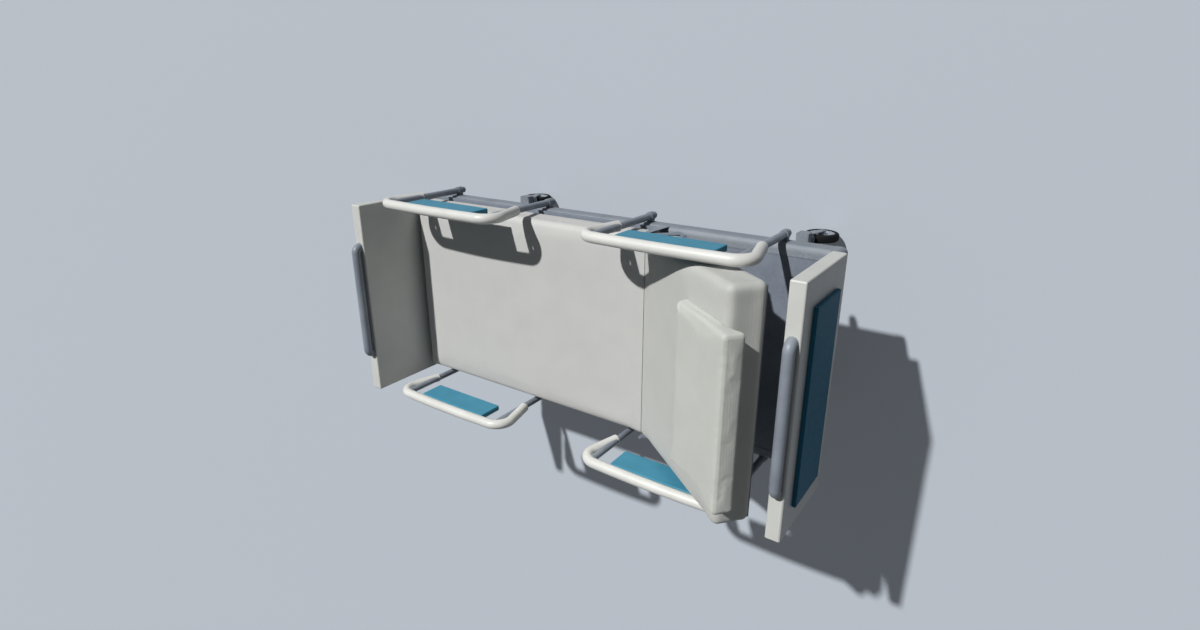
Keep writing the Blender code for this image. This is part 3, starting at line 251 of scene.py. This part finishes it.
def merged_copy(node, name):
    """Copy of a CAD node's mesh with its doubles merged and its flat faces whole."""
    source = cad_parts[node]
    piece = bpy.data.objects.new(name, source.data.copy())
    bpy.context.scene.collection.objects.link(piece)
    select_only(piece)
    bpy.ops.object.mode_set(mode="EDIT")
    bpy.ops.mesh.select_all(action="SELECT")
    bpy.ops.mesh.remove_doubles(threshold=1e-6)
    bpy.ops.mesh.dissolve_limited(angle_limit=math.radians(0.3))
    bpy.ops.mesh.normals_make_consistent(inside=False)
    bpy.ops.object.mode_set(mode="OBJECT")
    return piece


def eased(node, finish, body, slot, width=0.0012, angle=30.0):
    """The CAD node's own shape with its sharp edges eased as a coating or a mould leaves them."""
    piece = merged_copy(node, node + "_skin")
    if width:
        bevel = piece.modifiers.new("ease", "BEVEL")
        bevel.width = width
        bevel.segments = 2
        bevel.limit_method = "ANGLE"
        bevel.angle_limit = math.radians(40)
        bevel.use_clamp_overlap = True
        bevel.harden_normals = False
        bpy.ops.object.modifier_apply(modifier="ease")
    smooth(piece, angle)
    return settle(piece, finish, body, slot, node)


def bent_path(points, radius, steps):
    """Path through points with each corner turned to an arc."""
    points = [Vector(p) for p in points]
    path = [points[0]]
    for before, corner, after in zip(points, points[1:], points[2:]):
        back, ahead = (before - corner).normalized(), (after - corner).normalized()
        half = back.angle(ahead) / 2
        centre = corner + (back + ahead).normalized() * radius / math.sin(half)
        reach = radius / math.tan(half)
        first = (corner + back * reach - centre).normalized()
        last = (corner + ahead * reach - centre).normalized()
        path += [centre + first.slerp(last, i / steps) * radius for i in range(steps + 1)]
    return path + [points[-1]]


def tube(name, path, radius, rings=8):
    """Round tube along a path with closed ends."""
    bpy.ops.object.select_all(action="DESELECT")
    bpy.ops.curve.primitive_bezier_curve_add(location=(0.0, 0.0, 0.0))
    piece = bpy.context.object
    piece.name = name
    curve = piece.data
    curve.splines.clear()
    line = curve.splines.new("POLY")
    line.points.add(len(path) - 1)
    for point, spot in zip(line.points, path):
        point.co = (*spot, 1.0)
    curve.bevel_depth = radius
    curve.bevel_resolution = rings
    curve.use_fill_caps = True
    select_only(piece)
    bpy.ops.object.convert(target="MESH")
    piece = bpy.context.object
    bpy.ops.object.mode_set(mode="EDIT")
    bpy.ops.mesh.select_all(action="SELECT")
    bpy.ops.mesh.remove_doubles(threshold=1e-6)
    bpy.ops.mesh.normals_make_consistent(inside=False)
    bpy.ops.object.mode_set(mode="OBJECT")
    ease_ends(piece, radius * 0.12)
    smooth(piece, 40.0)
    return piece


def ease_ends(piece, width):
    """Rounds the rims of a tube's or cylinder's flat ends."""
    bevel = piece.modifiers.new("rim", "BEVEL")
    bevel.width = width
    bevel.segments = 3
    bevel.limit_method = "ANGLE"
    bevel.angle_limit = math.radians(60)
    select_only(piece)
    bpy.ops.object.modifier_apply(modifier="rim")


def spun(name, profile, steps=64):
    """Form turned about the Y axis, its closed profile of (radius, height) points drawn point by point."""
    bpy.ops.object.select_all(action="DESELECT")
    bpy.ops.mesh.primitive_plane_add(size=0.01)
    piece = bpy.context.object
    piece.name = name
    bpy.ops.object.mode_set(mode="EDIT")
    bpy.ops.mesh.select_all(action="SELECT")
    bpy.ops.mesh.merge(type="CENTER")
    bpy.ops.transform.translate(value=(*profile[0], 0.0))
    for before, after in zip(profile, profile[1:] + profile[:1]):
        step = (after[0] - before[0], after[1] - before[1], 0.0)
        bpy.ops.mesh.extrude_vertices_move(TRANSFORM_OT_translate={"value": step})
    bpy.ops.mesh.select_all(action="SELECT")
    bpy.ops.mesh.spin(steps=steps, angle=math.tau, center=(0.0, 0.0, 0.0), axis=(0.0, 1.0, 0.0))
    bpy.ops.mesh.select_all(action="SELECT")
    bpy.ops.mesh.remove_doubles(threshold=1e-6)
    bpy.ops.mesh.normals_make_consistent(inside=False)
    bpy.ops.object.mode_set(mode="OBJECT")
    return piece


def copied(piece, name, place=(0.0, 0.0, 0.0)):
    """Copy with its own mesh, moved to its place."""
    twin = bpy.data.objects.new(name, piece.data.copy())
    twin.location = place
    bpy.context.scene.collection.objects.link(twin)
    return twin


def discard(piece):
    """Removes a pattern piece that has been copied."""
    bpy.data.objects.remove(piece, do_unlink=True)


# Camera, floor and light

def add_camera():
    """Camera where the photograph was taken from: over the bed's left side, its picture's up along +Y."""
    right, up, back = (0.8226, 0.0, -0.5687), (-0.1939, 0.9401, -0.2804), (0.5346, 0.3409, 0.7733)
    data = bpy.data.cameras.new("camera")
    data.sensor_width = SENSOR
    data.lens = LENS
    data.clip_end = 200.0
    camera = bpy.data.objects.new("camera", data)
    turn = Matrix((right, up, back)).transposed().to_4x4()
    camera.matrix_world = Matrix.Translation(CAMERA_PLACE) @ turn
    bpy.context.scene.collection.objects.link(camera)
    bpy.context.scene.camera = camera


def seen_share(tree):
    """1 for a ray that the camera, a mirror or a glass sees by, 0 for one that only lights."""
    rays = add_node(tree, "LightPath").outputs
    seen = rays["Is Camera Ray"]
    for kind in ("Is Glossy Ray", "Is Transmission Ray"):
        seen = add_node(tree, "Math", {}, {0: seen, 1: rays[kind]}, operation="MAXIMUM").outputs[0]
    return seen


def add_floor():
    """Plain pale floor under the castors, which throws little light back at the bed's shaded sides."""
    bpy.ops.object.select_all(action="DESELECT")
    bpy.ops.mesh.primitive_plane_add(size=120.0)
    floor = bpy.context.object
    floor.name = "floor"
    finish, tree, shader, _ = new_finish("pale_floor", 0.9)
    seen = seen_share(tree)
    tree.links.new(mixed(tree, seen, FLOOR_BOUNCE, FLOOR_COLOUR), shader.inputs["Base Color"])
    shader.inputs["Emission Color"].default_value = linear(FLOOR_COLOUR)
    tree.links.new(ramp(tree, seen, 0.0, 1.0, 0.0, FLOOR_LIFT), shader.inputs["Emission Strength"])
    floor.data.materials.append(finish)


def add_light():
    """Key light from over the bed's left foot end, and an even fill all round, paler where it is seen."""
    sun = bpy.data.lights.new("key", "SUN")
    sun.energy = KEY_STRENGTH
    sun.angle = math.radians(KEY_SPREAD)
    sun.color = (1.0, 0.995, 0.98)
    key = bpy.data.objects.new("key", sun)
    key.rotation_euler = Vector(KEY_WAY).to_track_quat("-Z", "Y").to_euler()
    bpy.context.scene.collection.objects.link(key)
    world = bpy.data.worlds.new("studio")
    world.use_nodes = True
    fill = world.node_tree.nodes["Background"]
    fill.inputs["Color"].default_value = FILL_COLOUR
    tree = world.node_tree
    strength = ramp(tree, seen_share(tree), 0.0, 1.0, FILL_STRENGTH, BACKDROP_STRENGTH)
    tree.links.new(strength, fill.inputs["Strength"])
    bpy.context.scene.world = world


# Mattress and pillow

def block(name, low, high):
    """Plain block between two corners."""
    bpy.ops.object.select_all(action="DESELECT")
    bpy.ops.mesh.primitive_cube_add(size=1.0)
    piece = bpy.context.object
    piece.name = name
    piece.scale = [b - a for a, b in zip(low, high)]
    piece.location = [(a + b) / 2 for a, b in zip(low, high)]
    bpy.ops.object.transform_apply(location=True, rotation=True, scale=True)
    return piece


def soft_block(name, low, high, edge):
    """Block between two corners, its edges rounded all round."""
    piece = block(name, low, high)
    bpy.ops.object.mode_set(mode="EDIT")
    bpy.ops.mesh.select_all(action="SELECT")
    bpy.ops.mesh.bevel(offset=edge, segments=5, profile=0.5, affect="EDGES")
    bpy.ops.object.mode_set(mode="OBJECT")
    return piece


def gridded(piece, start, end, pitch=0.024):
    """Cuts the piece across at even steps between two corners, which gives the cloth quads to bend."""
    select_only(piece)
    bpy.ops.object.mode_set(mode="EDIT")
    for axis in range(3):
        count = max(2, round((end[axis] - start[axis]) / pitch))
        for i in range(1, count):
            place, normal = [0.0, 0.0, 0.0], [0.0, 0.0, 0.0]
            place[axis] = start[axis] + (end[axis] - start[axis]) * i / count
            normal[axis] = 1.0
            bpy.ops.mesh.select_all(action="SELECT")
            bpy.ops.mesh.bisect(plane_co=place, plane_no=normal)
    bpy.ops.object.mode_set(mode="OBJECT")


def creased(piece, x):
    """Keeps the rim of the flat cut at x sharp under subdivision."""
    select_only(piece)
    bpy.ops.object.mode_set(mode="EDIT")
    bpy.ops.mesh.select_mode(type="EDGE")
    bpy.ops.mesh.select_all(action="DESELECT")
    bpy.ops.object.mode_set(mode="OBJECT")
    mesh = piece.data
    on_cut = {v.index for v in mesh.vertices if abs(v.co.x - x) < 1e-5}
    rim = {key for face in mesh.polygons if abs(face.normal.x) < 0.9 for key in face.edge_keys
           if on_cut.issuperset(key)}
    for edge in mesh.edges:
        edge.select = edge.key in rim
    bpy.ops.object.mode_set(mode="EDIT")
    bpy.ops.transform.edge_crease(value=1.0)
    bpy.ops.mesh.select_mode(type="VERT")
    bpy.ops.object.mode_set(mode="OBJECT")


def carved(piece, low, high):
    """Takes the box between two corners out of the piece."""
    cutter = block("recess_cutter", low, high)
    step = piece.modifiers.new("recess", "BOOLEAN")
    step.operation = "DIFFERENCE"
    step.solver = "EXACT"
    step.object = cutter
    select_only(piece)
    bpy.ops.object.modifier_apply(modifier="recess")
    discard(cutter)


def remeshed(piece, voxel):
    """Even quads all over, for the cloth."""
    step = piece.modifiers.new("even", "REMESH")
    step.mode = "VOXEL"
    step.voxel_size = voxel
    select_only(piece)
    bpy.ops.object.modifier_apply(modifier="even")


def inflated(piece, pressure, cap, held):
    """Runs cloth under pressure. held(point), 0 to 1, says how firmly a point stays, cap how far it goes."""
    rest = [v.co.copy() for v in piece.data.vertices]
    pins = piece.vertex_groups.new(name="held")
    for i, point in enumerate(rest):
        pins.add([i], held(point), "REPLACE")
    cloth = piece.modifiers.new("cloth", "CLOTH")
    settings = cloth.settings
    settings.quality = 5
    settings.mass = 0.3
    settings.tension_stiffness = settings.compression_stiffness = 25.0
    settings.shear_stiffness = 8.0
    settings.bending_stiffness = 2.0
    settings.use_pressure = True
    settings.uniform_pressure_force = pressure
    settings.effector_weights.gravity = 0.0
    settings.vertex_group_mass = "held"
    settings.pin_stiffness = 1.0
    cloth.collision_settings.use_collision = False
    scene = bpy.context.scene
    for step in range(1, 21):
        scene.frame_set(step)
    evaluated = piece.evaluated_get(bpy.context.evaluated_depsgraph_get())
    moved = [v.co.copy() for v in evaluated.data.vertices]
    piece.modifiers.remove(cloth)
    scene.frame_set(1)
    for vertex, start, end in zip(piece.data.vertices, rest, moved):
        way = end - start
        limit = cap * (1.0 - held(start))
        if way.length > limit:
            way = way.normalized() * limit
        vertex.co = start + way
    piece.vertex_groups.clear()


def subdivided(piece):
    """One level of subdivision, applied."""
    step = piece.modifiers.new("round", "SUBSURF")
    step.levels = step.render_levels = 1
    select_only(piece)
    bpy.ops.object.modifier_apply(modifier="round")
    bpy.ops.object.shade_smooth_by_angle(angle=math.radians(50))


def blur(value, low, high):
    """0 under low, 1 over high, smooth between."""
    share = min(1.0, max(0.0, (value - low) / (high - low)))
    return share * share * (3 - 2 * share)


def raised(piece):
    """Turns a piece made flat, from the hinge along X, to the back section's angle."""
    piece.data.transform(Matrix.Translation(HINGE) @ Matrix.Rotation(-BACK_ANGLE, 4, "Y"))


def cut_flat(piece, point, normal):
    """Cuts the piece off at a plane and closes the cut, keeping what lies against the normal."""
    select_only(piece)
    bpy.ops.object.mode_set(mode="EDIT")
    bpy.ops.mesh.select_all(action="SELECT")
    bpy.ops.mesh.bisect(plane_co=point, plane_no=normal, use_fill=True, clear_outer=True)
    bpy.ops.object.mode_set(mode="OBJECT")


def add_flat_mattress():
    """Flat mattress section: foam in a coated knit cover, a little crowned, flat on the deck and seam."""
    seam, half = HINGE.x - SEAM_GAP, MATTRESS_HALF_WIDTH - COVER_ALLOWANCE
    low = (FLAT_FOOT_X + COVER_ALLOWANCE, -half, DECK_TOP + DECK_GAP)
    high = (seam + CORNER_ROUND * 2, half, HINGE.z - COVER_ALLOWANCE)
    piece = soft_block("mattress_flat_cover", low, high, CORNER_ROUND)
    cut_flat(piece, (seam, 0.0, 0.0), (1.0, 0.0, 0.0))
    gridded(piece, [a + CORNER_ROUND for a in low], (seam, high[1] - CORNER_ROUND, high[2] - CORNER_ROUND))
    creased(piece, seam)

    def held(point):
        deck = 1.0 - blur(point.z, DECK_TOP + 0.006, DECK_TOP + 0.045)
        at_seam = blur(point.x, seam - 0.06, seam - 0.004)
        return max(deck, at_seam)
    inflated(piece, 4.0, COVER_SWELL, held)
    subdivided(piece)
    settle(piece, MATTRESS_KNIT, "lift", "mattress_cover", "mattress_flat")


def add_back_mattress():
    """Mattress section on the backrest, made flat and then raised."""
    start, half = SEAM_GAP, MATTRESS_HALF_WIDTH - COVER_ALLOWANCE
    low = (-CORNER_ROUND * 2, -half, BACK_LOW)
    high = (BACK_LENGTH - COVER_ALLOWANCE, half, -COVER_ALLOWANCE)
    piece = soft_block("mattress_back_cover", low, high, CORNER_ROUND)
    cut_flat(piece, (start, 0.0, 0.0), (-1.0, 0.0, 0.0))
    gridded(piece, (start, low[1] + CORNER_ROUND, low[2] + CORNER_ROUND), [b - CORNER_ROUND for b in high])
    creased(piece, start)

    def held(point):
        deck = 1.0 - blur(point.z, BACK_LOW + 0.006, BACK_LOW + 0.045)
        at_seam = 1.0 - blur(point.x, start + 0.004, start + 0.06)
        return max(deck, at_seam)
    inflated(piece, 4.0, COVER_SWELL, held)
    subdivided(piece)
    recess_low, recess_top = BACK_LOW - 0.01, PANEL_TOP + DECK_GAP
    wide_half, narrow_half = MATTRESS_HALF_WIDTH + 0.02, PANEL_HALF_WIDTH + PANEL_GAP
    carved(piece, (-0.01, -wide_half, recess_low), (PANEL_WIDE_END, wide_half, recess_top))
    carved(piece, (0.0, -narrow_half, recess_low), (PANEL_END + PANEL_GAP, narrow_half, recess_top))
    raised(piece)
    # The cover in the knit drawn a little darker than the flat section's, as painted shade.
    settle(piece, BACK_KNIT_PAINTED_SHADE, "backrest", "mattress_cover", "mattress_back")


def add_pillow():
    """Pillow in a cotton case, its far edge hanging over the end of the mattress."""
    piece = block("pillow_in_case", (PILLOW_START, -PILLOW_HALF_WIDTH, PILLOW_LOW),
                  (PILLOW_END, PILLOW_HALF_WIDTH, PILLOW_THICK))
    bpy.ops.object.mode_set(mode="EDIT")
    bpy.ops.mesh.select_all(action="SELECT")
    bpy.ops.mesh.bisect(plane_co=(BACK_LENGTH, 0.0, 0.0), plane_no=(1.0, 0.0, 0.0))
    bpy.ops.mesh.select_all(action="DESELECT")
    bpy.ops.object.mode_set(mode="OBJECT")
    for vertex in piece.data.vertices:
        vertex.select = vertex.co.x > PILLOW_END - 1e-4 and vertex.co.z < PILLOW_LOW + 1e-4
    bpy.ops.object.mode_set(mode="EDIT")
    bpy.ops.transform.translate(value=(0.0, 0.0, -PILLOW_DROOP))
    bpy.ops.object.mode_set(mode="OBJECT")
    bevel = piece.modifiers.new("rim", "BEVEL")
    bevel.width = PILLOW_ROUND
    bevel.segments = 4
    bevel.limit_method = "ANGLE"
    bevel.angle_limit = math.radians(30)
    bpy.ops.object.modifier_apply(modifier="rim")

    def held(point):
        on_mattress = (1.0 - blur(point.z, 0.003, 0.030)) * (1.0 - blur(point.x, 0.66, 0.72))
        return 0.96 * on_mattress
    remeshed(piece, 0.006)
    inflated(piece, 4.0, PILLOW_SWELL, held)
    subdivided(piece)
    raised(piece)
    settle(piece, PILLOW_COTTON, "backrest", "pillow_case", "pillow")
    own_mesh(piece)


# End boards

def add_board(name, end):
    """End board, its handle and its coloured panel."""
    body = name + "board"
    eased(body, BOARD_PLASTIC, body, "moulded_board_white", 0.0)
    x, low, bar = end * BOARD_X, BOARD_TOP - HANDLE_SINK, BOARD_TOP + HANDLE_RISE
    half = HANDLE_HALF_SPREAD
    path = bent_path([(x, -half, low), (x, -half, bar), (x, half, bar), (x, half, low)], HANDLE_BEND, 12)
    settle(tube(body + "_grab_bar", path, HANDLE_RADIUS), GREY_COAT, body, "powder_coat_grey",
           body + "_handle")
    # The accent panel in the teal drawn darker than the rail panels', as painted shade.
    eased(body + "_accent", ACCENT_TEAL_PAINTED_SHADE, body, "moulded_teal", 0.0)


# Side rails

def add_rail(name, centre, y):
    """One side rail: its bent tube, hangers, panel and posts."""
    body = "rail_" + name

    def arch(x):
        return RAIL_TOP - RAIL_ARCH * (x / RAIL_HALF_SPAN) ** 2
    steps = 12
    spots = [RAIL_HALF_SPAN * (2 * i / steps - 1) for i in range(steps + 1)]
    crest = [(centre + x, y, arch(x)) for x in spots]
    feet = [(centre + way * (POST_OFFSET + LEG_OFFSET), y, RAIL_FOOT) for way in (-1, 1)]
    path = (bent_path([feet[0], crest[0], crest[1]], RAIL_CORNER, 14)[:-1] + crest[3:-3]
            + bent_path([crest[-2], crest[-1], feet[1]], RAIL_CORNER, 14)[1:])
    settle(tube("rail_tube_" + name, path, RAIL_RADIUS), WHITE_COAT, body, "powder_coat_white",
           "rail_loop_" + name)
    eased("rail_panel_" + name, TEAL_PANEL, body, "moulded_teal", 0.0)
    for letter, way in (("a", -1), ("b", 1)):
        middle = (centre + way * POST_OFFSET, y, (POST_HEAD + POST_FOOT) / 2)
        bpy.ops.object.select_all(action="DESELECT")
        bpy.ops.mesh.primitive_cylinder_add(vertices=36, radius=POST_RADIUS, depth=POST_HEAD - POST_FOOT,
                                            location=middle)
        post = bpy.context.object
        post.name = f"post_{letter}_{name}"
        bpy.ops.object.transform_apply(location=True, rotation=True, scale=True)
        ease_ends(post, POST_RADIUS * 0.3)
        smooth(post, 40.0)
        settle(post, GREY_COAT, body, "powder_coat_grey", f"rail_post_{letter}_{name}")
    eased("rail_catch_" + name, DARK_PLASTIC, "catch_" + name, "moulded_dark_grey", 0.0006)


# Castors

def add_castors():
    """Four castors: eased forks, dished hubs and round-shouldered tyres."""
    tread, hub = 0.018, 0.0224
    tyre = spun("tyre_pattern", [
        (0.0564, -tread + 0.001), (0.0610, -tread), (0.0665, -tread + 0.0003), (0.0705, -tread + 0.0022),
        (0.0733, -tread + 0.0058), (0.0747, -tread + 0.0105), (0.0750, 0.0), (0.0747, tread - 0.0105),
        (0.0733, tread - 0.0058), (0.0705, tread - 0.0022), (0.0665, tread - 0.0003), (0.0610, tread),
        (0.0564, tread - 0.001)])
    smooth(tyre, 50.0)
    half = 0.015
    side = [(0.0066, hub - 0.0006), (0.0148, hub - 0.0006), (0.0160, hub - 0.0022), (0.0166, 0.0080),
            (0.0190, 0.0068), (0.0440, 0.0062), (0.0466, 0.0078), (0.0474, half - 0.0012), (0.0486, half),
            (0.0548, half), (0.0559, half - 0.0010)]
    wheel_hub = spun("hub_pattern", side + [(radius, -x) for radius, x in reversed(side)])
    smooth(wheel_hub, 35.0)
    for end_name, end in ENDS.items():
        for side_name, way in SIDES.items():
            name = f"{end_name}_{side_name}"
            place = (end * AXLE_X, way * AXLE_Y, AXLE_Z)
            settle(copied(tyre, "tyre_" + name, place), TYRE_RUBBER, "wheel_" + name, "castor_tyre",
                   "wheel_tyre_" + name)
            settle(copied(wheel_hub, "hub_" + name, place), HUB_PLASTIC, "wheel_" + name, "castor_hub",
                   "wheel_hub_" + name)
            eased("castor_fork_" + name, GREY_COAT, "swivel_" + name, "powder_coat_grey", 0.0006)
    discard(tyre)
    discard(wheel_hub)


# Frame, columns and drive

def add_structure():
    """Base, columns, deck frame, panels and drive: the CAD shapes with their edges eased."""
    eased("base_frame", FRAME_COAT, "base", "powder_coat_grey", 0.0)
    eased("brake_bar", DARK_PLASTIC, "brake", "moulded_dark_grey", 0.0008)
    for end_name in ENDS:
        eased("column_outer_" + end_name, WHITE_COAT, "base", "powder_coat_white", 0.0008)
        eased("column_middle_" + end_name, FRAME_COAT, "middle_stages", "powder_coat_grey", 0.0008)
        eased("column_inner_" + end_name, FRAME_COAT, "lift", "powder_coat_grey", 0.0008)
    eased("deck_frame", FRAME_COAT, "lift", "powder_coat_grey", 0.0)
    eased("seat_panel", DECK_PANEL, "lift", "deck_panel_grey", 0.0015)
    eased("head_tray", TRAY_COAT, "lift", "powder_coat_grey", 0.0006)
    eased("drive_housing", DARK_PLASTIC, "lift", "moulded_dark_grey", 0.0)
    eased("control_box", DARK_PLASTIC, "lift", "moulded_dark_grey", 0.0)
    eased("drive_rod", GREY_COAT, "drive", "powder_coat_grey", 0.0006)
    eased("backrest_panel", DECK_PANEL, "backrest", "deck_panel_grey", 0.0)


add_camera()
add_floor()
add_light()
add_flat_mattress()
add_back_mattress()
add_pillow()
for board_name, board_end in ENDS.items():
    add_board(board_name, board_end)
for rail_end, rail_centre in RAIL_CENTRES.items():
    for rail_side, rail_way in SIDES.items():
        add_rail(f"{rail_end}_{rail_side}", rail_centre, rail_way * RAIL_Y)
add_castors()
add_structure()

bpy.context.scene.view_settings.view_transform = "Standard"
